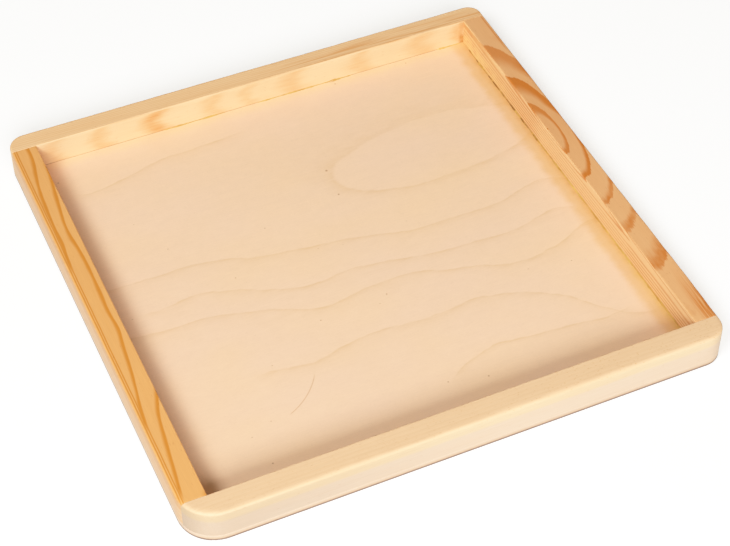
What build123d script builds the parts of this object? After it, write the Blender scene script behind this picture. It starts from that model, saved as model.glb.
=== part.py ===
from build123d import *
import os

# A shallow square wooden tray: four softwood strips glued and pinned round a thin plywood panel.
#
# Frame: X runs along the front rail, +Y points to the back rail and +Z up. The origin is the
# middle of the square, on the surface that the tray stands on. Everything is in millimetres.

# --- Driving dimensions -------------------------------------------------------------------------
SIDE = 300  # outer length and width
RAIL_HEIGHT = 16.5  # strips, above the panel
RAIL_WIDTHS = {"front": 14, "back": 12.5, "left": 14.5, "right": 13.3}
CORNER_RADII = {"front_left": 20, "front_right": 12, "back_left": 10, "back_right": 8}
OUTER_ROUND = 1.2  # sanded outer top edge
INNER_EASE = 0.4  # inner top edge, only just broken
BASE_EASE = 0.5  # bottom edge of the panel

BACK_VENEER = 1.2  # the panel is three-ply birch, 4 mm in all
CORE_VENEER = 1.6
FACE_VENEER = 1.2

PIN_RADIUS = 0.6  # panel pins, driven up through the panel into the strips
PIN_LENGTH = 15
PIN_TIP = 1.5  # length of the point
PIN_HEAD_RADIUS = 1.0
PIN_HEAD = 0.6
PIN_SINK = 0.3  # head, below the underside
PINS_PER_RAIL = 4
PIN_SPACING = 70

GLUE_LEG = 0.9  # size of the dried glue beads at the foot of a strip
GLUE_FOOT = 0.25  # the blunt edge where a bead runs out on the panel

# --- Worked out from those ----------------------------------------------------------------------
HALF = SIDE / 2
PANEL = BACK_VENEER + CORE_VENEER + FACE_VENEER
RIM = PANEL + RAIL_HEIGHT  # height of the whole tray

WELL_LEFT = -HALF + RAIL_WIDTHS["left"]
WELL_RIGHT = HALF - RAIL_WIDTHS["right"]
WELL_FRONT = -HALF + RAIL_WIDTHS["front"]
WELL_BACK = HALF - RAIL_WIDTHS["back"]
WELL_CENTRE = ((WELL_LEFT + WELL_RIGHT) / 2, (WELL_FRONT + WELL_BACK) / 2)
WELL_LENGTH = WELL_RIGHT - WELL_LEFT
WELL_DEPTH = WELL_BACK - WELL_FRONT

SIGNS = {"left": -1, "right": 1, "front": -1, "back": 1}


def corner_point(name, height=0):
    """The sharp corner that a rounded one, such as front_left, is sanded from."""
    y_side, x_side = name.split("_")
    return (SIGNS[x_side] * HALF, SIGNS[y_side] * HALF, height)


def pin_places():
    """Where the pins go, seen from above: a row along the middle of each strip."""
    row = [(k - (PINS_PER_RAIL - 1) / 2) * PIN_SPACING for k in range(PINS_PER_RAIL)]
    middle = {name: HALF - width / 2 for name, width in RAIL_WIDTHS.items()}
    across = [(x, SIGNS[name] * middle[name]) for name in ("front", "back") for x in row]
    along = [(SIGNS[name] * middle[name], y) for name in ("left", "right") for y in row]
    return across + along


# --- The outline that the panel and the strips share ---------------------------------------------
with BuildSketch() as outline:
    Rectangle(SIDE, SIDE)
    for name, radius in CORNER_RADII.items():
        sharp = outline.vertices().sort_by_distance(corner_point(name))[0]
        fillet(sharp, radius)

# --- Panel pins -----------------------------------------------------------------------------------
PIN_FOOT = PIN_SINK
PIN_NECK = PIN_SINK + PIN_HEAD
PIN_POINT = PIN_SINK + PIN_LENGTH

with BuildPart() as one_pin:
    with BuildSketch(Plane.XZ) as pin_profile:
        with BuildLine():
            Polyline(
                (0, PIN_FOOT),
                (PIN_HEAD_RADIUS, PIN_FOOT),
                (PIN_HEAD_RADIUS, PIN_NECK),
                (PIN_RADIUS, PIN_NECK),
                (PIN_RADIUS, PIN_POINT - PIN_TIP),
                (0, PIN_POINT),
                close=True,
            )
        make_face()
    revolve(axis=Axis.Z)

with BuildPart() as pin_hole:  # the pin's own shape, and the dimple that the punch leaves below it
    add(one_pin.part)
    Cylinder(PIN_HEAD_RADIUS, PIN_SINK, align=(Align.CENTER, Align.CENTER, Align.MIN))

with BuildPart() as base_pins:
    with Locations(*pin_places()):
        add(one_pin.part)

with BuildPart() as pin_holes:
    with Locations(*pin_places()):
        add(pin_hole.part)


# --- The plywood panel, as its three veneers -------------------------------------------------------
def veneer(bottom, thickness, eased=False):
    """One ply of the panel, from that height up, with the pins' holes."""
    with BuildPart() as ply:
        with BuildSketch(Plane.XY.offset(bottom)):
            add(outline.sketch)
        extrude(amount=thickness)
        if eased:
            fillet(ply.faces().sort_by(Axis.Z)[0].outer_wire().edges(), BASE_EASE)
        add(pin_holes.part, mode=Mode.SUBTRACT)
    return ply


base_back_veneer = veneer(0, BACK_VENEER, eased=True)
base_core_veneer = veneer(BACK_VENEER, CORE_VENEER)
base_face_veneer = veneer(BACK_VENEER + CORE_VENEER, FACE_VENEER)

# --- The strips: sanded as one rim after gluing, so they are cut from one shape ----------------------
with BuildPart() as rim:
    with BuildSketch(Plane.XY.offset(PANEL)):
        add(outline.sketch)
        with Locations(WELL_CENTRE):
            Rectangle(WELL_LENGTH, WELL_DEPTH, mode=Mode.SUBTRACT)
    extrude(amount=RAIL_HEIGHT)
    top_face = rim.faces().sort_by(Axis.Z)[-1]
    fillet(top_face.outer_wire().edges(), OUTER_ROUND)
    top_face = rim.faces().sort_by(Axis.Z)[-1]
    chamfer(top_face.inner_wires().edges(), INNER_EASE)


def rail(x_from, x_to, y_from, y_to):
    """The strip of the rim that lies over that rectangle, with its pins' holes."""
    centre = ((x_from + x_to) / 2, (y_from + y_to) / 2, RIM / 2)
    with BuildPart() as strip:
        add(rim.part)
        with Locations(centre):
            Box(x_to - x_from, y_to - y_from, RIM, mode=Mode.INTERSECT)
        add(pin_holes.part, mode=Mode.SUBTRACT)
    return strip


# The front and back strips run the whole width; the side strips butt against them.
front_rail = rail(-HALF, HALF, -HALF, WELL_FRONT)
back_rail = rail(-HALF, HALF, WELL_BACK, HALF)
left_rail = rail(-HALF, WELL_LEFT, WELL_FRONT, WELL_BACK)
right_rail = rail(WELL_RIGHT, HALF, WELL_FRONT, WELL_BACK)


# --- Glue that squeezed out at the foot of two strips -------------------------------------------------
def glue_bead(plane, length):
    """A bead whose corner is the plane's origin, with the panel along the plane's x."""
    with BuildPart() as bead:
        with BuildSketch(plane):
            with BuildLine():
                Line((0, 0), (GLUE_LEG, 0))
                Line((GLUE_LEG, 0), (GLUE_LEG, GLUE_FOOT))
                RadiusArc((GLUE_LEG, GLUE_FOOT), (0, GLUE_LEG), 2 * GLUE_LEG)
                Line((0, GLUE_LEG), (0, 0))
            make_face()
        extrude(amount=length)
    return bead


RIGHT_BEAD_ENDS = (-134.5, 130)  # along Y
BACK_BEAD_ENDS = ((-60, -20), (0, 62), (118, 135))  # along X

right_start, right_end = RIGHT_BEAD_ENDS
right_foot = Plane((WELL_RIGHT, right_start, PANEL), x_dir=(-1, 0, 0), z_dir=(0, 1, 0))
right_glue_bead = glue_bead(right_foot, right_end - right_start)

back_beads = []
for start, end in BACK_BEAD_ENDS:
    back_foot = Plane((end, WELL_BACK, PANEL), x_dir=(0, -1, 0), z_dir=(-1, 0, 0))
    back_beads.append(glue_bead(back_foot, end - start))

with BuildPart() as back_glue_beads:
    for bead in back_beads:
        add(bead.part)

# --- One STEP file for each piece -----------------------------------------------------------------------
PIECES = {
    "base_back_veneer": base_back_veneer,
    "base_core_veneer": base_core_veneer,
    "base_face_veneer": base_face_veneer,
    "front_rail": front_rail,
    "back_rail": back_rail,
    "left_rail": left_rail,
    "right_rail": right_rail,
    "base_pins": base_pins,
    "right_glue_bead": right_glue_bead,
    "back_glue_beads": back_glue_beads,
}

os.makedirs("parts", exist_ok=True)
for name, piece in PIECES.items():
    piece.part.label = name
    export_step(piece.part, f"parts/{name}.step")
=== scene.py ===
import math
import random

import bmesh
import bpy
from mathutils import Matrix, Vector, noise


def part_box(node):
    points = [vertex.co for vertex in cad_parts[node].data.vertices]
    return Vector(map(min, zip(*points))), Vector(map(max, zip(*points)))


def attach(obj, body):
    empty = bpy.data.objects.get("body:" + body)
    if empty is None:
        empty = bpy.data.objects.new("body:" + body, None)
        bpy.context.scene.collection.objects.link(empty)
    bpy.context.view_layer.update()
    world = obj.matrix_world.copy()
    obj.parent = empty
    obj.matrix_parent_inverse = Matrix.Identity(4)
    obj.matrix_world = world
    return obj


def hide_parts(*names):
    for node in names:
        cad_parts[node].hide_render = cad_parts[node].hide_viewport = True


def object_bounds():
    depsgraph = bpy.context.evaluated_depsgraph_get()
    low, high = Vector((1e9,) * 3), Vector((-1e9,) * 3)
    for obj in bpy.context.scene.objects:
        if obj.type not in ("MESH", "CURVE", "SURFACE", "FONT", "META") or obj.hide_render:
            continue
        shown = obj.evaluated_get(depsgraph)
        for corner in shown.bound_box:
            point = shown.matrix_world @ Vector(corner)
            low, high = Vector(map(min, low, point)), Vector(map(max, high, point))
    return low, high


# A shallow square wooden tray, seen on a pale floor in soft light. X runs along the front rail,
# +Y points to the back rail and +Z up. Blender works in metres, but the shapes and the wood
# below are described in millimetres, which MM turns into metres.

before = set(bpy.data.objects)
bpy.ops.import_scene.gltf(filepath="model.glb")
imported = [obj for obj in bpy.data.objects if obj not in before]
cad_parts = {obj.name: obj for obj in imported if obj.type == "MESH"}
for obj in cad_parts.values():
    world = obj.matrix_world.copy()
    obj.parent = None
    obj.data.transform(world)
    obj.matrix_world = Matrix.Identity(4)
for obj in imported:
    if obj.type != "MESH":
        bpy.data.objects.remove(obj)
CAD_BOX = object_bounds()
MM = 0.001

# --- The tray, from its CAD nodes -----------------------------------------------------------------


def corners_mm(node):
    """A node's lowest and highest corners, in millimetres."""
    low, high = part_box(node)
    return [value / MM for value in low], [value / MM for value in high]


HALF = CAD_BOX[1][0] / MM
RIM = CAD_BOX[1][2] / MM
PANEL = corners_mm("base_face_veneer")[1][2]
WELL_LEFT = corners_mm("left_rail")[1][0]
WELL_RIGHT = corners_mm("right_rail")[0][0]
WELL_FRONT = corners_mm("front_rail")[1][1]
WELL_BACK = corners_mm("back_rail")[0][1]
FRONT_WIDTH = WELL_FRONT + HALF
BACK_WIDTH = HALF - WELL_BACK
LEFT_WIDTH = WELL_LEFT + HALF
RIGHT_WIDTH = HALF - WELL_RIGHT

# How far each corner of the outline is rounded, as in the CAD model.
CORNER_RADII = {(-1, -1): 20, (1, -1): 12, (-1, 1): 10, (1, 1): 8}


# --- Shader arithmetic ----------------------------------------------------------------------------


class Field:
    """A number or a colour that varies over a surface: the output of a shader node."""

    def __init__(self, tree, socket):
        self.tree = tree
        self.socket = socket

    def __add__(self, other):
        return maths("ADD", self, other)

    def __radd__(self, other):
        return maths("ADD", other, self)

    def __sub__(self, other):
        return maths("SUBTRACT", self, other)

    def __rsub__(self, other):
        return maths("SUBTRACT", other, self)

    def __mul__(self, other):
        return maths("MULTIPLY", self, other)

    def __rmul__(self, other):
        return maths("MULTIPLY", other, self)

    def __truediv__(self, other):
        return maths("DIVIDE", self, other)

    def __neg__(self):
        return maths("MULTIPLY", self, -1)


def fill(tree, socket, value):
    """Links a field to an input, or sets it."""
    if isinstance(value, Field):
        tree.links.new(value.socket, socket)
    else:
        socket.default_value = value


def maths(operation, *values):
    """A sum, product or other operation on fields and plain numbers."""
    tree = next(value.tree for value in values if isinstance(value, Field))
    node = tree.nodes.new("ShaderNodeMath")
    node.operation = operation
    for socket, value in zip(node.inputs, values):
        fill(tree, socket, value)
    return Field(tree, node.outputs[0])


def ramp(field, low, high):
    """0 up to low and 1 from high on, with a smooth climb between. It falls if low is above high."""
    node = field.tree.nodes.new("ShaderNodeMapRange")
    node.interpolation_type = "SMOOTHSTEP"
    fill(field.tree, node.inputs["Value"], field)
    node.inputs["From Min"].default_value = low
    node.inputs["From Max"].default_value = high
    return Field(field.tree, node.outputs["Result"])


def swell(field, centre, width, height=1.0):
    """A smooth hump of that height, which has mostly died away a width from its centre."""
    off = (field - centre) / width
    return maths("EXPONENT", -(off * off)) * height


def length(*fields):
    """The length of the vector with those components."""
    return maths("SQRT", sum(field * field for field in fields[1:]) + fields[0] * fields[0])


def vector(x, y, z):
    """A point or colour from its three components."""
    tree = next(value.tree for value in (x, y, z) if isinstance(value, Field))
    node = tree.nodes.new("ShaderNodeCombineXYZ")
    for socket, value in zip(node.inputs, (x, y, z)):
        fill(tree, socket, value)
    return Field(tree, node.outputs[0])


def cloud(x, y, z, detail=2.0, roughness=0.5):
    """Smooth noise from about -1 to 1, with features one unit across."""
    place = vector(x, y, z)
    node = place.tree.nodes.new("ShaderNodeTexNoise")
    fill(place.tree, node.inputs["Vector"], place)
    node.inputs["Scale"].default_value = 1.0
    node.inputs["Detail"].default_value = detail
    node.inputs["Roughness"].default_value = roughness
    return (Field(place.tree, node.outputs["Fac"]) - 0.5) * 2.5


def spots(x, y, z, size, share):
    """1 in small spots. size is their radius, and share is how many of the unit cells have one."""
    place = vector(x, y, z)
    node = place.tree.nodes.new("ShaderNodeTexVoronoi")
    fill(place.tree, node.inputs["Vector"], place)
    node.inputs["Scale"].default_value = 1.0
    near = ramp(Field(place.tree, node.outputs["Distance"]), size, size * 0.4)
    pick = place.tree.nodes.new("ShaderNodeSeparateColor")
    place.tree.links.new(node.outputs["Color"], pick.inputs[0])
    return near * ramp(Field(place.tree, pick.outputs[0]), 1 - share, 1 - share * 0.8)


def chance(field):
    """A random number from 0 to 1 for each whole number."""
    node = field.tree.nodes.new("ShaderNodeTexWhiteNoise")
    node.noise_dimensions = "1D"
    fill(field.tree, node.inputs["W"], field)
    return Field(field.tree, node.outputs["Value"])


def colour(red, green, blue):
    """A colour given as the eye sees it, 0 to 255, as the linear numbers that the shaders use."""
    linear = [((value / 255 + 0.055) / 1.055) ** 2.4 for value in (red, green, blue)]
    return (*linear, 1.0)


def mix(amount, first, second):
    """Goes from the first colour to the second as amount goes from 0 to 1."""
    node = amount.tree.nodes.new("ShaderNodeMix")
    node.data_type = "RGBA"
    node.clamp_factor = True
    fill(amount.tree, node.inputs["Factor"], amount)
    fill(amount.tree, node.inputs["A"], first)
    fill(amount.tree, node.inputs["B"], second)
    return Field(amount.tree, node.outputs["Result"])


def brighten(shade, amount):
    """A colour made lighter or darker by a factor that is 1 for no change."""
    node = amount.tree.nodes.new("ShaderNodeVectorMath")
    node.operation = "SCALE"
    fill(amount.tree, node.inputs[0], shade if isinstance(shade, Field) else shade[:3])
    fill(amount.tree, node.inputs["Scale"], amount)
    return Field(amount.tree, node.outputs[0])


class Material:
    """A Principled material whose colour, roughness and relief come from fields."""

    def __init__(self, name):
        self.made = bpy.data.materials.new(name)
        self.made.use_nodes = True
        self.tree = self.made.node_tree
        self.shader = self.tree.nodes["Principled BSDF"]

    def place(self):
        """X, Y and Z in the tray's frame, in millimetres."""
        where = self.tree.nodes.new("ShaderNodeTexCoord")
        parts = self.tree.nodes.new("ShaderNodeSeparateXYZ")
        self.tree.links.new(where.outputs["Object"], parts.inputs[0])
        return [Field(self.tree, output) / MM for output in parts.outputs]

    def facing(self):
        """How squarely the surface faces along X, Y and Z, from 0 to 1."""
        where = self.tree.nodes.new("ShaderNodeTexCoord")
        parts = self.tree.nodes.new("ShaderNodeSeparateXYZ")
        self.tree.links.new(where.outputs["Normal"], parts.inputs[0])
        return [maths("ABSOLUTE", Field(self.tree, output)) for output in parts.outputs]

    def finish(self, shade, roughness, relief, **constants):
        """relief is the surface's height in millimetres."""
        fill(self.tree, self.shader.inputs["Base Color"], shade)
        fill(self.tree, self.shader.inputs["Roughness"], roughness)
        for name, value in constants.items():
            self.shader.inputs[name.replace("_", " ")].default_value = value
        bump = self.tree.nodes.new("ShaderNodeBump")
        bump.inputs["Distance"].default_value = MM
        fill(self.tree, bump.inputs["Height"], relief)
        self.tree.links.new(bump.outputs["Normal"], self.shader.inputs["Normal"])
        return self.made


# --- Pine -----------------------------------------------------------------------------------------
# Every rail has its own growth rings. They are described in the rail's own directions: along, the
# distance from the tray's middle; across, inwards from the outer face; and depth, down from the
# top. A figure function gives four fields. count is the number of rings passed, and each whole
# number is the sharp edge where one year's dark late wood stops. onset is how far through the year
# the late wood starts. strength is how dark it gets. marks are patches darkened besides the rings.

FOOT = RIM - PANEL  # the rails' own height
YEAR_EDGE = 0.955  # how far through a year its late wood begins to stop
PINE_FLECK = colour(150, 92, 46)  # resin canals, cut along their length
PINE_FOOT_SHADE = colour(120, 74, 34)  # painted shade: the dark line where a rail's inner face meets the panel


def pine(
    name, rail_axis, width, directions, figure, pale, dark, outer, inner, seed,
    darkened_end=None, glue_and_light_end=None, glue_and_light_colour=None, glue_and_light_strength=0.0,
):
    """Raw sanded pine, with colours for its top, its outer face above and below, and its inner face.
    These colours are partly the wood's own and partly painted light: lit and shaded copies of one wood.

    The outer face can be made darker towards one end, given as where along the rail that starts,
    where it is darkest, and by how much. One end of the inner face can take a patchy colour, given as
    where that starts and where it is full: glue soaked in on the back rail, and painted light over the
    back half of the right rail.
    """
    wood = Material(name)
    along, across, depth = directions(*wood.place())
    end_grain = ramp(wood.facing()[rail_axis], 0.45, 0.95)
    upright = ramp(wood.facing()[2], 0.75, 0.35)
    in_well = ramp(maths("ABSOLUTE", along), HALF - 11, HALF - 12)  # short of the rail's own ends
    inner_face = upright * ramp(across, width - 1.2, width - 0.4) * in_well
    outer_face = upright - inner_face

    wander = cloud(along / 70, across / 22 + seed, depth / 22) * 0.10
    ripple = cloud(along / 13, across / 3.5, depth / 3.5 + seed) * 0.06
    fibre = cloud(along / 22, across / 0.5 + seed, depth / 0.5, detail=3.0, roughness=0.6)
    hair = cloud(along / 6, across / 0.16, depth / 0.16 + seed, detail=1.0)

    count, onset, strength, marks = figure(along, across, depth)
    count = count + wander + ripple + fibre * 0.05
    year = maths("FLOOR", count)
    season = count - year
    late = ramp((season - onset) / (YEAR_EDGE - onset), 0.0, 0.75) * ramp(season, 1.0, YEAR_EDGE)
    late = late * (0.75 + chance(year + seed) * 0.25) * strength * (1 - outer_face * 0.6)
    late = maths("MAXIMUM", late, marks)

    tone = cloud(along / 45, across / 9 + seed * 2, depth / 9, detail=3.0)
    resin = spots(along / 5.5, across / 0.6 + seed, depth / 0.6, 0.22, 0.16)
    # Painted shade in the last half millimetre of the inner face above the panel, with a shallow groove
    # in the relief.
    foot = ramp(depth + fibre * 0.12, FOOT - 0.5, FOOT - 0.1) * ramp(across, 6.0, 8.0)

    # The outer face changes colour 4.5 to 7 mm below the top. On the front rail the lighter upper band
    # is a painted highlight along the rounded edge, and the greyer part below it is painted shade.
    outer_shade = mix(ramp(depth + fibre * 0.5, 4.5, 7.0), outer[0], outer[1])
    shade = mix(outer_face, pale, outer_shade)
    shade = mix(inner_face, shade, inner)
    shade = mix(ramp(tone, -0.9, 1.3) * 0.12, shade, dark)
    shade = mix(late, shade, dark)
    shade = mix(resin * 0.4, shade, PINE_FLECK)
    shade = mix(foot * 0.6, shade, PINE_FOOT_SHADE)
    # A patchy colour at one end of the inner face: soaked-in glue on the back rail, and on the right
    # rail painted light that lightens the back half of its inner face.
    if glue_and_light_end:
        patchwork = cloud(along / 5, across / 4, depth / 4, detail=3.0)
        glue_and_light = ramp(along + patchwork * 1.5, *glue_and_light_end) * inner_face * ramp(patchwork, -0.8, 0.2)
        glue_and_light = glue_and_light * (0.4 + ramp(depth, 6, 13) * 0.6)
        shade = mix(glue_and_light * glue_and_light_strength, shade, glue_and_light_colour)
    lightness = 1.0 + fibre * 0.07 + hair * 0.05 - end_grain * 0.10
    # The outer face is made darker towards one end of the rail.
    if darkened_end:
        darken_from, darken_to, darkening = darkened_end
        lightness = lightness - outer_face * ramp(along, darken_from, darken_to) * darkening
    shade = brighten(shade, lightness)

    roughness = 0.56 + hair * 0.05 - late * 0.08 + end_grain * 0.1
    relief = late * 0.02 + fibre * 0.012 + hair * 0.006 - resin * 0.02 - foot * 0.08
    return wood.finish(shade, roughness, relief, Specular_IOR_Level=0.35)


# Along, across and depth for each rail, from a place in the tray's frame.
def front_directions(x, y, z):
    return x, y + HALF, RIM - z


def back_directions(x, y, z):
    return x, HALF - y, RIM - z


def left_directions(x, y, z):
    return y, x + HALF, RIM - z


def right_directions(x, y, z):
    return y, HALF - x, RIM - z


def front_figure(along, across, depth):
    """Quiet upright grain, nearly square to the top."""
    count = across / 2.6 + along / 150 + depth / 14 + 3
    smudge = swell(along, -58, 55) * swell(depth, 11, 2.6)
    streaks = ramp(cloud(along / 30, depth / 0.7, 2.0), -0.2, 0.8)
    speckle = spots(along / 2.2, across / 0.8, depth / 0.8, 0.32, 0.6) * ramp(depth, 2, 1)
    speckle = speckle * (0.24 + ramp(along, -60, 80) * 0.26)
    marks = maths("MAXIMUM", smudge * streaks * ramp(across, 1.0, 0.3) * 0.16, speckle)
    return count, 0.35, 0.09, marks


# Soft patches on the back rail's inner face, each a swell: its centre, width and strength.
BACK_PATCHES = (
    (-128, 6, 0.4), (-100, 6, 0.5), (-67, 7, 0.85), (-30, 6, 0.42), (-8, 5, 0.34),
    (20, 8, 0.5), (65, 7, 0.46), (105, 9, 0.5), (132, 5, 0.6),
)


def back_figure(along, across, depth):
    """Fine lengthwise lines on top. The inner face cuts the rings in broad soft patches."""
    count = (12 - across) / 1.5 + along / 90 + cloud(along / 60, across / 6, 0.0) * 0.4 + 10
    bowed = (depth - 8) * (depth - 8) * 0.10
    bent = along - bowed + cloud(along / 16, depth / 5, 2.0, detail=3.0) * 5
    patches = sum(swell(bent, *patch) for patch in BACK_PATCHES)
    patches = patches * (0.8 + cloud(along / 12, depth / 1.2, 6.0) * 0.35)
    inner_face = ramp(depth, 0.3, 1.2) * ramp(across, BACK_WIDTH - 1.0, BACK_WIDTH - 0.2)
    streaks = ramp(cloud(along / 40, across / 1.1, 9.0, detail=3.0), -0.15, 0.3)
    darker_edge = (0.3 + ramp(along, -10, 50) * 0.7) * ramp(across, 1, 7) * ramp(depth, 0.6, 0.2)
    darker_edge = darker_edge * (0.08 + streaks * 0.62)
    quiet = 0.32 - inner_face * 0.26
    return count, 0.2, quiet, maths("MAXIMUM", patches * inner_face, darker_edge)


# The bold lines on the left rail's top. Each: how far across it is at the tray's middle, its
# slope, its swells as (centre, width, height), and where it starts and stops.
LEFT_LINES = (
    (20.6, 0.1325, ((-60, 14, 2.8),), -138, -56),
    (10.4, 0.02, ((-85, 36, -6.2), (-16, 9, 1.0), (66, 18, -2.3), (115, 16, 1.6)), -92, 125),
    (1.0, 0.038, ((56, 8, 0.6), (130, 20, 3.5)), 28, 150),
)


def left_figure(along, across, depth):
    """A few bold lines that drift across the top, and two fine ones by the outer edge."""
    count = across / 4 - along * 0.0106 + depth / 3.5 + 6
    wavy = across + cloud(along / 24, across / 6, 3.0, detail=3.0) * 0.32
    breadth = 1.0 + cloud(along / 20, across / 10, 12.0) * 0.5
    lines = swell(along, -138, 4) * swell(across, 14, 1.6) * 0.9
    for level, slope, swells, start, stop in LEFT_LINES:
        run = along * slope + level
        for centre, width, height in swells:
            run = run + swell(along, centre, width, height)
        past = (wavy - run) / breadth
        band = ramp(past, -2.1, -0.2) * ramp(past, 1.1, 0.3)
        band = band * ramp(along, start, start + 12) * ramp(along, stop, stop - 12)
        lines = maths("MAXIMUM", lines, band * 0.92)
    sway = across + cloud(along / 18, 0.0, 4.0) * 0.25
    fine = maths("MAXIMUM", swell(sway, 1.3, 0.36, 1.0), swell(sway, 2.5, 0.34, 1.0))
    top = ramp(depth, 1.8, 0.6)
    return count, 0.5, (1 - top) * 0.6 + 0.04, maths("MAXIMUM", lines, fine) * top


# The right rail's arches: the middle of their dome along the rail, how much longer than wide they
# are, and how far apart along the rail.
ARCH_MIDDLE = 29
ARCH_STRETCH = 3.25
ARCH_SPACING = 22


def right_figure(along, across, depth):
    """Arches: the rings form a dome under the top, near the middle of the inner edge."""
    # The rings are drawn out along the grain, closer together behind the dome's middle and
    # further apart towards the front end. Below the top they sink into level lines.
    off = along - ARCH_MIDDLE
    behind = maths("MAXIMUM", off, 0.0)
    before = maths("MAXIMUM", -84 - off, 0.0)
    reach = off - behind * behind / 470 + before * 0.34
    dome = length(reach, (RIGHT_WIDTH - across) * ARCH_STRETCH) / ARCH_SPACING
    sinking = maths("EXPONENT", -(depth / 3.0))
    torn = cloud(along / 15, across / 0.8, 7.0, detail=3.0) * ramp(along, -18, -50) * 0.11
    count = dome * sinking + depth / 2.0 + 0.92 + torn

    onset = 0.66 - ramp(along, 32, 50) * 0.5 - ramp(along, -62, -72) * 0.26
    side_face = ramp(depth, 0.2, 1.2)
    quiet_end = maths("MAXIMUM", ramp(along, 113, 119), ramp(along, -92, -99))
    patchy = ramp(along, -20, -34) * ramp(cloud(along / 9, across / 5, 6.0), 0.3, -0.5) * 0.45
    top = 1.0 - quiet_end * 0.8 - patchy - ramp(along, 80, 92) * 0.2
    strength = top * (1 - side_face) + side_face * 0.72

    line = swell(across + cloud(along / 20, 0.0, 4.0) * 0.3, 1.9, 0.5) * ramp(along, 98, 112) * 0.75
    streaks = ramp(cloud(along / 22, across / 0.75, 5.0, detail=3.0), -0.5, 0.2)
    streaks = streaks * swell(along, -128, 19) * ramp(across, 9.5, 4.5) * 0.95
    glow = swell(along, 44, 40, 0.17)
    marks = maths("MAXIMUM", maths("MAXIMUM", line, streaks), glow)
    return count, onset, strength, marks * ramp(depth, 0.8, 0.3)


# --- Birch ----------------------------------------------------------------------------------------

PLY_EDGE = colour(199, 170, 145)  # the panel's sanded edge, as pale as the rails over it
PLY_FOOT_BROWN = colour(104, 80, 66)  # the darker brown of the panel's edge towards its foot
BIRCH_PORE = colour(160, 116, 74)
BIRCH_FLECK = colour(150, 108, 70)


def birch_grain(along, across, seed):
    """The fine grain of peeled birch: its fibres, its short pores and its few brown flecks."""
    fibre = cloud(along / 18, across / 0.9 + seed, seed, detail=3.0, roughness=0.6)
    pores = spots(along / 3.2, across / 0.42 + seed, 0.0, 0.22, 0.35)
    flecks = spots(along / 14 + seed, across / 9, 0.0, 0.05, 0.35)
    return fibre, pores, flecks


def figure_line(x, y, level, slope, swells, start, stop):
    """The edge of one year's growth: a thin dark line that fades away below it."""
    run = x * slope + level
    for centre, width, height in swells:
        run = run + swell(x, centre, width, height)
    below = run - y
    shown = ramp(x, start, start + 14) * ramp(x, stop, stop - 14)
    past = maths("MAXIMUM", below, 0.0)
    line = maths("EXPONENT", -(past / 1.3))
    fade = maths("EXPONENT", -(past / 6.0))
    return (line * 0.6 + fade * 0.34) * ramp(below, -0.8, 0.3) * shown


# Each line: its height at the tray's middle, its slope, its swells as (centre, width, height),
# and where it starts and stops.
FLOOR_FIGURE = (
    (10.5, -0.135, ((-80, 25, 5.5), (38, 18, -4), (125, 28, 14)), -150, 150),
    (-12, -0.12, ((-85, 20, 6.5), (-32, 18, -6), (45, 25, -2.5), (120, 22, 10)), -125, 135),
    (
        -28, -0.13,
        ((-88, 18, 3), (-30, 20, -8), (25, 15, 2.5), (80, 25, -6), (135, 20, 13)),
        -150, 150,
    ),
    (-62, 0, ((-50, 15, -3.5), (-12, 16, 2.5), (45, 12, 3), (130, 38, -45)), -85, 150),
    (-97, 0, ((5, 15, -12), (45, 15, 3), (105, 20, -4)), 8, 125),
    (118, 0.06, ((-110, 22, -7),), -130, -10),
)

# Small dark specks in the floor: x, y and radius.
FLOOR_SPECKS = (
    (14, 66, 1.0), (12.5, 45, 0.8), (49, 134, 0.7), (96, 134, 0.6), (-91, 44, 0.5), (-36, 37, 0.5),
    (-65, 8, 0.5), (5, -37, 0.6), (-35, -40, 0.55), (108, -56, 0.5), (8, -107, 0.6),
    (29, -112, 0.7), (-95, -119, 0.7), (-130, 120, 0.7),
)

# The scratch in the floor: the centre and radius of its arc, and where it starts and stops in X.
SCRATCH_CENTRE = (-93, -51)
SCRATCH_RADIUS = 46
SCRATCH_ENDS = (-76, -52)

# The floor's one closed loop of figure: the centre and half sizes of its ellipse.
LOOP_CENTRE = (80, 60)
LOOP_REACH = (65, 25.5)


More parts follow.
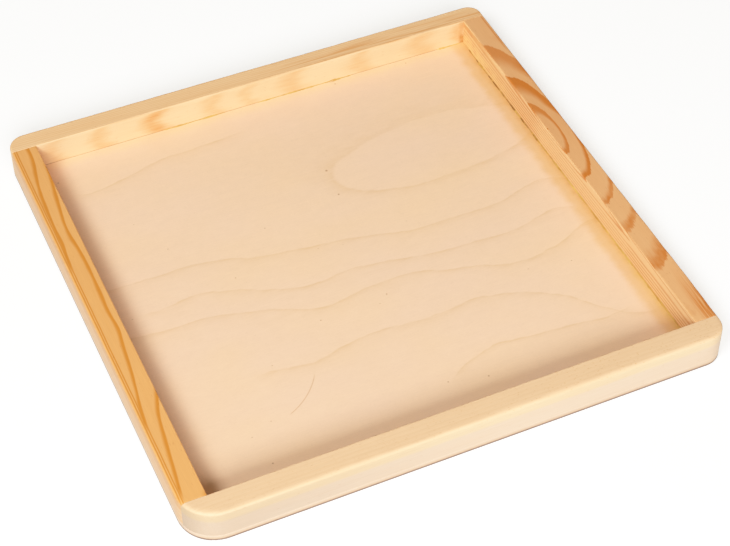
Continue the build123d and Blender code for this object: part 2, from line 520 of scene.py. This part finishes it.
def face_birch():
    """The panel's upper veneer, which is the floor of the tray."""
    wood = Material("birch_face")
    x, y, z = wood.place()
    bend_x = x + cloud(x / 30, y / 30, 1.0) * 2.5
    bend_y = y + cloud(x / 24, y / 12, 5.0) * 1.5 + cloud(x / 6, y / 2.5, 9.0, detail=3.0) * 0.7

    # The closed loop has the year's late wood outside it, deepest at its back.
    lean = swell(bend_x, 40, 35, -3)
    loop_x = (bend_x - LOOP_CENTRE[0]) / LOOP_REACH[0]
    loop_y = (bend_y - LOOP_CENTRE[1] - lean) / LOOP_REACH[1]
    round_loop = length(loop_x, loop_y)
    outside = maths("MAXIMUM", (round_loop - 1) * LOOP_REACH[1], 0.0)
    behind = ramp(bend_y, 55, 90)
    loop = maths("EXPONENT", -(outside / (2.5 + behind * 12)))
    figure = loop * ramp(round_loop, 0.965, 1.015) * (0.85 - behind * 0.35)
    for line in FLOOR_FIGURE:
        figure = maths("MAXIMUM", figure, figure_line(bend_x, bend_y, *line))
    broken = 0.68 + cloud(x / 13, y / 3, 13.0, detail=4.0) * 0.75

    specks = 0.0
    for speck_x, speck_y, size in FLOOR_SPECKS:
        away = length(x - speck_x, y - speck_y)
        specks = maths("MAXIMUM", specks, ramp(away, size, size * 0.35))
    scratch_x, scratch_y = SCRATCH_CENTRE
    scratch_start, scratch_stop = SCRATCH_ENDS
    off_scratch = length(x - scratch_x, y - scratch_y) - SCRATCH_RADIUS
    scratch = swell(off_scratch, 0, 0.28) * ramp(y, -50, -60)
    scratch = scratch * ramp(x, scratch_start, scratch_start + 3)
    scratch = scratch * ramp(x, scratch_stop, scratch_stop - 3)

    fibre, pores, flecks = birch_grain(x, y, 3.0)
    patches = cloud(x / 60, y / 34, 2.0, detail=3.0)
    mottle = cloud(x / 7, y / 4, 7.0, detail=3.0)
    nap = cloud(x / 1.6, y / 0.8, 8.0, detail=2.0)
    warm = ramp(cloud(x / 80, y / 50, 11.0), -0.8, 0.9)
    ragged = mottle * 1.4 + cloud(x / 16, y / 11, 15.0) * 2.2
    # The floor turns darker and more orange within 12 mm of the right rail, most of all within 5 mm of
    # it, and yellower there towards the front.
    toward_right_rail = ramp(x + ragged, WELL_RIGHT - 12, WELL_RIGHT - 5)
    at_right_rail = ramp(x + ragged * 0.5, WELL_RIGHT - 5, WELL_RIGHT)
    # Painted bounce light: the floor is yellower within about 9 mm of the back rail.
    back_bounce = ramp(y + ragged, WELL_BACK - 9, WELL_BACK - 1)

    shade = mix(warm, colour(238, 197, 168), colour(241, 198, 161))
    shade = mix(figure * broken * 0.5, shade, colour(208, 162, 110))
    shade = mix(toward_right_rail * 0.58, shade, colour(208, 157, 90))
    at_right_rail_colour = mix(ramp(y, -40, -85), colour(196, 138, 56), colour(200, 154, 64))
    shade = mix(at_right_rail * (0.5 + cloud(x / 9, y / 7, 23.0) * 0.35), shade, at_right_rail_colour)
    shade = mix(back_bounce * 0.24, shade, colour(240, 200, 128))
    shade = mix(pores * 0.17, shade, BIRCH_PORE)
    shade = mix(flecks * 0.4, shade, BIRCH_FLECK)
    shade = mix(specks * 0.55, shade, colour(132, 90, 58))
    shade = mix(scratch * 0.42, shade, colour(172, 122, 70))
    shade = mix(ramp(z, PANEL - 0.05, PANEL - 0.15), shade, PLY_EDGE)
    shade = brighten(shade, 1.0 + fibre * 0.032 + mottle * 0.030 + nap * 0.036 + patches * 0.02)
    roughness = 0.55 + fibre * 0.04 + mottle * 0.03
    relief = fibre * 0.008 - pores * 0.012 + mottle * 0.004 - scratch * 0.06 - specks * 0.05
    return wood.finish(shade, roughness, relief, Specular_IOR_Level=0.35)


def back_birch():
    """The panel's lower veneer, with its underside."""
    wood = Material("birch_back")
    x, y, z = wood.place()
    sway = cloud(x / 60, y / 22, 21.0) * 1.1
    count = y / 26 + x / 260 + sway + 20
    season = count - maths("FLOOR", count)
    figure = maths("EXPONENT", -(season / 0.14)) * 0.5 + maths("EXPONENT", -(season / 0.4)) * 0.3

    fibre, pores, flecks = birch_grain(x, y, 14.0)
    mottle = cloud(x / 8, y / 4, 17.0, detail=3.0)
    shade = mix(figure * ramp(z, 0.6, 0.3), colour(202, 170, 140), colour(190, 148, 104))
    shade = mix(pores * 0.14, shade, BIRCH_PORE)
    shade = mix(flecks * 0.5, shade, BIRCH_FLECK)
    shade = mix(ramp(z, 0.02, 0.1), shade, PLY_EDGE)
    # The lowest ply's edge is dark brown above its flat underside.
    shade = mix(ramp(z, 0.0, 0.05) * 0.95, shade, PLY_FOOT_BROWN)
    shade = brighten(shade, 1.0 + fibre * 0.02 + mottle * 0.02)
    roughness = 0.58 + fibre * 0.04
    relief = fibre * 0.01 - pores * 0.014
    return wood.finish(shade, roughness, relief, Specular_IOR_Level=0.35)


def core_birch():
    """The middle veneer, whose grain runs front to back, so the front edge shows its end grain."""
    wood = Material("birch_core")
    x, y, z = wood.place()
    end_grain = ramp(wood.facing()[1], 0.45, 0.95)
    fibre = cloud(y / 16, x / 0.7, z / 0.3, detail=3.0)
    pores = spots(x / 0.45, z / 0.4, y / 3.0, 0.30, 0.5)
    shade = mix(end_grain, PLY_EDGE, colour(192, 161, 132))
    shade = mix(pores * 0.2, shade, colour(150, 108, 72))
    # The middle ply's edge darkens to that brown below about 2 mm.
    shade = mix(ramp(z + fibre * 0.1, 2.0, 1.3) * 0.7, shade, PLY_FOOT_BROWN)
    shade = brighten(shade, 1.0 + fibre * 0.05)
    relief = fibre * 0.015 - pores * 0.02
    return wood.finish(shade, 0.62 + fibre * 0.05, relief, Specular_IOR_Level=0.3)


# --- Glue and steel -------------------------------------------------------------------------------


def dried_glue():
    glue = Material("dried_glue")
    x, y, z = glue.place()
    thick = cloud(x / 9, y / 9, z / 3, detail=3.0)
    dust = cloud(x / 0.8, y / 0.8, z / 0.8, detail=2.0)
    shade = mix(ramp(thick, -0.8, 0.8), colour(214, 170, 92), colour(176, 124, 52))
    shade = mix(ramp(dust, 0.3, 1.0) * 0.3, shade, colour(228, 198, 150))
    # Brown patches on the bead next to the right rail, from the middle backwards.
    brown_patches = ramp(cloud(x / 7, y / 7, 3.0, detail=3.0), -0.25, 0.25) * ramp(y, 0, 60)
    shade = mix(brown_patches * ramp(x, WELL_RIGHT - 2, WELL_RIGHT - 1) * 0.8, shade, colour(112, 72, 26))
    relief = thick * 0.05 + dust * 0.02
    return glue.finish(shade, 0.34 + ramp(dust, -0.5, 1.0) * 0.2, relief, Coat_Weight=0.2)


def pin_steel():
    steel = Material("pin_steel")
    x, y, z = steel.place()
    drawn = cloud(x / 0.3, y / 0.3, z / 3, detail=3.0)
    tarnish = cloud(x / 0.9, y / 0.9, z / 0.9, detail=2.0)
    shade = mix(ramp(tarnish, -0.6, 0.8), colour(168, 166, 162), colour(118, 110, 100))
    return steel.finish(shade, 0.36 + tarnish * 0.1, drawn * 0.01, Metallic=1.0)


# --- The rails' shape -----------------------------------------------------------------------------
# The rim was sanded as one piece after gluing, so one height serves all four rails.

OUTER_ROUND = 1.2
FRONT_ROUND = 2.3  # the front rail is sanded rounder than the others
INNER_EASE = 0.4
JOINT_OPENING = 0.12  # half the width of the fine groove where two rails meet
JOINT_DEPTH = 0.22
HOLLOW = 0.05  # how far the sanded top dips


def outline_distance(x, y):
    """How far a point is inside the tray's outline, seen from above."""
    corner = (1 if x > 0 else -1, 1 if y > 0 else -1)
    radius = CORNER_RADII[corner]
    from_x, from_y = HALF - abs(x), HALF - abs(y)
    if from_x < radius and from_y < radius:
        return radius - math.hypot(radius - from_x, radius - from_y)
    return min(from_x, from_y)


def well_distance(x, y):
    """How far a point is outside the well."""
    beside = max(WELL_LEFT - x, x - WELL_RIGHT, 0.0)
    before = max(WELL_FRONT - y, y - WELL_BACK, 0.0)
    return math.hypot(beside, before)


def eased(distance, radius):
    """How far a rounded edge lies below the face, at a distance from the edge."""
    if distance >= radius:
        return 0.0
    return radius - math.sqrt(radius**2 - (radius - max(distance, 0.0)) ** 2)


def rim_height(x, y):
    """The height of the sanded rim over a point."""
    rough = noise.noise((x / 11, y / 11, 4.0))
    finer = noise.noise((x / 3, y / 3, 8.0))
    frontness = min(1.0, max(0.0, (-y - 110) / 26))  # 1 on the front rail
    outer = (OUTER_ROUND + (FRONT_ROUND - OUTER_ROUND) * frontness) * (1 + 0.28 * rough)
    inner = INNER_EASE * (1 + 0.45 * rough + 0.35 * finer)
    groove = 0.0
    if not WELL_LEFT < x < WELL_RIGHT:
        joint = min(abs(y - WELL_FRONT), abs(y - WELL_BACK))
        groove = JOINT_DEPTH * max(0.0, 1 - joint / JOINT_OPENING)
    dip = HOLLOW * (0.5 + 0.5 * noise.noise((x / 28, y / 28, 1.0)))
    top = RIM - dip - groove
    return top - eased(outline_distance(x, y), outer) - eased(well_distance(x, y), inner)


def spread(low, high, step, near_low, near_high):
    """Places from low to high about a step apart, and at the given distances from each end."""
    inner_low, inner_high = low + near_low[-1], high - near_high[-1]
    count = max(1, round((inner_high - inner_low) / step))
    middle = [inner_low + (inner_high - inner_low) * k / count for k in range(1, count)]
    return [low + d for d in near_low] + middle + [high - d for d in reversed(near_high)]


# Distances from an edge at which the mesh has its points: over a rounded edge, over an eased one,
# and round a corner of the outline.
NEAR_ROUND = (0.0, 0.06, 0.2, 0.42, 0.75, 1.2, 1.9, 2.8)
NEAR_EASE = (0.0, 0.08, 0.2, 0.4, 0.8)
NEAR_ARC = (0.0, 0.12, 0.35, 0.7, 1.2, 2.0, 3.1, 4.5, 6.2, 8.2, 10.5, 13.1, 16.0, 20.0)
LENGTH_STEP = 2.2
WIDTH_STEP = 1.9
WALL_LEVELS = 7
WALL_DRIFT = 0.05  # how far the sanded sides wander


def edge_inset(along, low_radius, high_radius):
    """How far the outline stands in from a straight side, a distance along it."""
    radius = low_radius if along < 0 else high_radius
    past = abs(along) - (HALF - radius)
    if past <= 0:
        return 0.0
    return radius - math.sqrt(max(radius**2 - past**2, 0.0))


def shell(name, columns, rows, floor_height):
    """A closed mesh over a grid of plan points: columns of that many rows, up to the rim."""
    mesh = bmesh.new()
    made = {}

    def corner(i, j, k):
        if (i, j, k) not in made:
            x, y = columns[i][j]
            share = k / WALL_LEVELS
            top = rim_height(x, y)
            lift = floor_height + (top - floor_height) * share
            drift = WALL_DRIFT * noise.noise((x / 8, y / 8, lift / 8 + 30.0))
            if 0 < k < WALL_LEVELS:
                x, y = x * (1 - drift / HALF), y * (1 - drift / HALF)
            made[i, j, k] = mesh.verts.new((x * MM, y * MM, lift * MM))
        return made[i, j, k]

    def skin(a, b, c, d):
        ring = []
        for vertex in (corner(*a), corner(*b), corner(*c), corner(*d)):
            if vertex not in ring:
                ring.append(vertex)
        mesh.faces.new(ring)

    last_i, last_j, last_k = len(columns) - 1, rows - 1, WALL_LEVELS
    for i in range(last_i):
        for j in range(last_j):
            for k in (0, last_k):
                skin((i, j, k), (i + 1, j, k), (i + 1, j + 1, k), (i, j + 1, k))
        for k in range(last_k):
            for j in (0, last_j):
                skin((i, j, k), (i + 1, j, k), (i + 1, j, k + 1), (i, j, k + 1))
    for j in range(last_j):
        for k in range(last_k):
            for i in (0, last_i):
                skin((i, j, k), (i, j + 1, k), (i, j + 1, k + 1), (i, j, k + 1))
    bmesh.ops.remove_doubles(mesh, verts=mesh.verts, dist=0.002 * MM)
    bmesh.ops.recalc_face_normals(mesh, faces=mesh.faces)
    return mesh_piece(name, mesh, sharp=math.radians(38))


def mesh_piece(name, mesh, sharp):
    """An object from a bmesh, smooth except over edges that turn by more than that angle."""
    for face in mesh.faces:
        face.smooth = True
    for edge in mesh.edges:
        edge.smooth = edge.is_manifold and edge.calc_face_angle(0.0) < sharp
    data = bpy.data.meshes.new(name)
    mesh.to_mesh(data)
    mesh.free()
    piece = bpy.data.objects.new(name, data)
    bpy.context.scene.collection.objects.link(piece)
    return piece


def rail_mesh(name, plan, start, stop, width, radii, near_ends):
    """A rail, where plan turns (along, across) into X and Y, across being from the outer face."""
    stations = spread(start, stop, LENGTH_STEP, near_ends, near_ends)
    steps = spread(0.0, width, WIDTH_STEP, NEAR_ROUND, NEAR_EASE)
    columns = []
    for along in stations:
        inset = edge_inset(along, *radii)
        share = (width - inset) / width
        columns.append([plan(along, inset + step * share) for step in steps])
    return shell(name, columns, len(steps), PANEL)


def joint_reach(width, radius):
    """How far along a full-width rail's outline its joint face begins, from the middle."""
    if radius <= width:
        return HALF
    return HALF - radius + math.sqrt(radius**2 - (radius - width) ** 2)


# X and Y for each rail, from a distance along it and one across it.
def front_plan(along, across):
    return along, -HALF + across


def back_plan(along, across):
    return along, HALF - across


def left_plan(along, across):
    return -HALF + across, along


def right_plan(along, across):
    return HALF - across, along


FRONT_RADII = (CORNER_RADII[-1, -1], CORNER_RADII[1, -1])
BACK_RADII = (CORNER_RADII[-1, 1], CORNER_RADII[1, 1])
LEFT_RADII = (CORNER_RADII[-1, -1], CORNER_RADII[-1, 1])
RIGHT_RADII = (CORNER_RADII[1, -1], CORNER_RADII[1, 1])
FRONT_ENDS = (-joint_reach(FRONT_WIDTH, FRONT_RADII[0]), joint_reach(FRONT_WIDTH, FRONT_RADII[1]))
BACK_ENDS = (-joint_reach(BACK_WIDTH, BACK_RADII[0]), joint_reach(BACK_WIDTH, BACK_RADII[1]))
SIDE_ENDS = (WELL_FRONT, WELL_BACK)

RAILS = (
    # name, plan, ends, width, corner radii, spacing near each end
    ("front_rail", front_plan, FRONT_ENDS, FRONT_WIDTH, FRONT_RADII, NEAR_ARC),
    ("back_rail", back_plan, BACK_ENDS, BACK_WIDTH, BACK_RADII, NEAR_ARC),
    ("left_rail", left_plan, SIDE_ENDS, LEFT_WIDTH, LEFT_RADII, NEAR_EASE),
    ("right_rail", right_plan, SIDE_ENDS, RIGHT_WIDTH, RIGHT_RADII, NEAR_EASE),
)


def make_rails():
    # Each rail's top, outer and inner colours are partly the wood's own and partly painted light: lit
    # and shaded copies of one wood.
    looks = {
        "front_rail": pine(
            "pine_front", 0, FRONT_WIDTH, front_directions, front_figure,
            pale=colour(230, 187, 147), dark=colour(200, 142, 88),
            outer=(colour(209, 178, 141), colour(201, 174, 149)),
            inner=colour(226, 180, 138), seed=1.7, darkened_end=(40, -140, 0.19),
        ),
        "back_rail": pine(
            "pine_back", 0, BACK_WIDTH, back_directions, back_figure,
            pale=colour(238, 192, 146), dark=colour(206, 134, 66),
            outer=(colour(230, 190, 146), colour(226, 190, 150)),
            inner=colour(233, 193, 150), seed=4.1,
            glue_and_light_end=(WELL_RIGHT - 4.5, WELL_RIGHT - 1),
            glue_and_light_colour=colour(172, 112, 38), glue_and_light_strength=0.95,
        ),
        "left_rail": pine(
            "pine_left", 1, LEFT_WIDTH, left_directions, left_figure,
            pale=colour(226, 160, 96), dark=colour(200, 122, 36),
            outer=(colour(198, 148, 102), colour(204, 163, 124)),
            inner=colour(226, 164, 100), seed=7.3,
        ),
        "right_rail": pine(
            "pine_right", 1, RIGHT_WIDTH, right_directions, right_figure,
            pale=colour(225, 165, 113), dark=colour(194, 108, 34),
            outer=(colour(222, 168, 116), colour(222, 172, 124)),
            inner=colour(239, 192, 140), seed=9.9,
            # Painted light: the back half of the inner face is made lighter.
            glue_and_light_end=(50, WELL_BACK - 8),
            glue_and_light_colour=colour(252, 208, 140), glue_and_light_strength=0.75,
        ),
    }
    for name, plan, ends, width, radii, near_ends in RAILS:
        piece = rail_mesh(name + "_wood", plan, *ends, width, radii, near_ends)
        piece.data.materials.append(looks[name])
        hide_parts(name)
        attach(piece, "root")


# --- Glue beads -----------------------------------------------------------------------------------


BEAD_STEP = 1.3
BEAD_TAPER = 3  # the length over which a bead's ends thin out
BEAD_SIDES = 5
BEAD_CORNER = (-0.04, -0.03)  # tucked just into the rail and the panel


def glue_bead(mesh, foot, start, stop, size, seed):
    """A bead along the foot of a rail, uneven in size. foot turns (along, out, up) into a point."""
    rng = random.Random(seed)
    count = max(6, round((stop - start) / BEAD_STEP))
    rings = []
    for i in range(count + 1):
        along = start + (stop - start) * i / count
        from_end = min(along - start, stop - along)
        ends = min(1.0, from_end / BEAD_TAPER + 0.12)
        slow = noise.noise((along / 9, seed, 0.0))
        quick = noise.noise((along / 2, seed, 5.0))
        leg = size * ends * max(0.3, 0.62 + 0.95 * slow + 0.3 * quick)
        out = leg * (1 + 0.2 * rng.uniform(-1, 1))
        up = leg * (1 + 0.2 * rng.uniform(-1, 1))
        section = [BEAD_CORNER]
        for step in range(BEAD_SIDES + 1):
            angle = math.radians(90 * step / BEAD_SIDES)
            belly = 0.80 + 0.2 * abs(math.cos(2 * angle))
            section.append((out * math.cos(angle) * belly, up * math.sin(angle) * belly))
        rings.append([mesh.verts.new([v * MM for v in foot(along, o, u)]) for o, u in section])
    for first, second in zip(rings, rings[1:]):
        for k in range(len(first)):
            following = (k + 1) % len(first)
            mesh.faces.new((first[k], first[following], second[following], second[k]))
    mesh.faces.new(rings[0])
    mesh.faces.new(list(reversed(rings[-1])))


def make_glue():
    glue = dried_glue()

    def right_foot(along, out, up):
        return WELL_RIGHT - out, along, PANEL + up

    def back_foot(along, out, up):
        return along, WELL_BACK - out, PANEL + up

    right_low, right_high = corners_mm("right_glue_bead")
    back_low, back_high = corners_mm("back_glue_beads")
    right = bmesh.new()
    glue_bead(right, right_foot, right_low[1], right_high[1], 0.85, 2.0)
    back = bmesh.new()
    glue_bead(back, back_foot, back_low[0], -20.0, 0.7, 3.0)
    glue_bead(back, back_foot, 0.0, 62.0, 0.7, 4.0)
    glue_bead(back, back_foot, 118.0, back_high[0], 0.85, 5.0)
    for name, mesh, node in (
        ("right_glue", right, "right_glue_bead"),
        ("back_glue", back, "back_glue_beads"),
    ):
        bmesh.ops.recalc_face_normals(mesh, faces=mesh.faces)
        piece = mesh_piece(name, mesh, sharp=math.radians(70))
        piece.data.materials.append(glue)
        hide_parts(node)
        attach(piece, "root")


# --- Pieces with the CAD's own shape ------------------------------------------------------------------


def veneer(node, material):
    """A ply of the panel, whose flat faces are shaded flat right up to their edges."""
    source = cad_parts[node].data
    mesh = bmesh.new()
    points = [mesh.verts.new(vertex.co) for vertex in source.vertices]
    for polygon in source.polygons:
        mesh.faces.new([points[k] for k in polygon.vertices])
    bmesh.ops.remove_doubles(mesh, verts=mesh.verts, dist=0.002 * MM)
    piece = mesh_piece(node + "_ply", mesh, sharp=math.radians(38))
    for polygon in piece.data.polygons:
        polygon.use_smooth = abs(polygon.normal.z) < 0.999
    piece.data.materials.append(material)
    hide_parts(node)
    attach(piece, "root")


def paint(node, material):
    """Gives a CAD piece its material."""
    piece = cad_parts[node]
    for slot in piece.material_slots:
        slot.link = "OBJECT"
        slot.material = material


# --- Camera, light and floor ------------------------------------------------------------------------

VIEW_AZIMUTH = math.radians(-23.82)  # 0 looks along +Y
VIEW_ELEVATION = math.radians(46.14)
VIEW_ROLL = math.radians(-0.44)
VIEW_DISTANCE = 1.0579
VIEW_TARGET = Vector((0.0023, -0.0143, 0.0))
VIEW_LENS = 95.0


def make_camera():
    towards = Vector((
        math.sin(VIEW_AZIMUTH) * math.cos(VIEW_ELEVATION),
        -math.cos(VIEW_AZIMUTH) * math.cos(VIEW_ELEVATION),
        math.sin(VIEW_ELEVATION),
    ))
    right = Vector((0, 0, 1)).cross(towards).normalized()
    turned = Matrix((right, towards.cross(right), towards)).transposed()
    turned = turned @ Matrix.Rotation(VIEW_ROLL, 3, "Z")
    data = bpy.data.cameras.new("camera")
    data.lens = VIEW_LENS
    data.sensor_width = 36.0
    camera = bpy.data.objects.new("camera", data)
    camera.matrix_world = Matrix.Translation(VIEW_TARGET + towards * VIEW_DISTANCE) @ turned.to_4x4()
    bpy.context.scene.collection.objects.link(camera)
    bpy.context.scene.camera = camera


LIGHT_DISTANCE = 2.4
FLOOR_REACH = 4.0
# name, the way to it from the tray, width, height and power
LIGHTS = (
    ("front_key", (-0.24, -1.6, 1.0), 1.0, 0.78, 36.0),
    ("left_key", (-0.8, -0.5, 1.0), 0.78, 0.78, 38.0),
    ("corner_fill", (-0.8, -1.6, 1.0), 0.78, 0.78, 26.5),
)


def soft_light(name, place, width, height, power):
    """A soft box that points at the tray."""
    data = bpy.data.lights.new(name, "AREA")
    data.shape = "RECTANGLE"
    data.size = width
    data.size_y = height
    data.energy = power
    light = bpy.data.objects.new(name, data)
    light.location = place
    light.rotation_euler = place.to_track_quat("Z", "Y").to_euler()
    bpy.context.scene.collection.objects.link(light)


def make_stage():
    """A pale floor, soft boxes from the front and the left, and a dim pale surround."""
    for name, towards, width, height, power in LIGHTS:
        place = Vector(towards).normalized() * LIGHT_DISTANCE
        soft_light(name, place, width, height, power)

    world = bpy.data.worlds.new("surround")
    bpy.context.scene.world = world
    world.use_nodes = True
    surround = world.node_tree.nodes["Background"]
    surround.inputs["Color"].default_value = (1.0, 0.92, 0.66, 1.0)
    surround.inputs["Strength"].default_value = 0.27

    floor_mesh = bmesh.new()
    bmesh.ops.create_grid(floor_mesh, x_segments=4, y_segments=4, size=FLOOR_REACH)
    floor = mesh_piece("floor", floor_mesh, sharp=1.0)
    paper = Material("floor_paper")
    x, y, _ = paper.place()
    grain = cloud(x / 3, y / 3, 0.0, detail=2.0)
    floor.data.materials.append(
        paper.finish(
            brighten(colour(208, 208, 208), 1.0 + grain * 0.004), 0.8, grain * 0.002,
            Specular_IOR_Level=0.2, Emission_Color=(1.0, 1.0, 1.0, 1.0), Emission_Strength=0.62,
        )
    )


# How bright a picture shows each brightness of the scene. It rolls off gently towards white, as
# film does, so that the lit outer faces don't burn out.
TONES = ((0.0, 0.0), (0.4, 0.4), (0.6, 0.575), (0.8, 0.72), (1.0, 0.84), (1.2, 0.935), (1.45, 1.0))


def set_tones():
    view = bpy.context.scene.view_settings
    view.view_transform = "Standard"
    view.use_curve_mapping = True
    brightest = TONES[-1][0]
    view.curve_mapping.white_level = (brightest, brightest, brightest)
    points = view.curve_mapping.curves[3].points
    points[-1].location = (1.0, 1.0)
    for scene_value, shown in TONES[1:-1]:
        points.new(scene_value / brightest, shown)
    view.curve_mapping.update()


make_camera()
make_rails()
make_glue()
veneer("base_face_veneer", face_birch())
veneer("base_core_veneer", core_birch())
veneer("base_back_veneer", back_birch())
paint("base_pins", pin_steel())
make_stage()
set_tones()
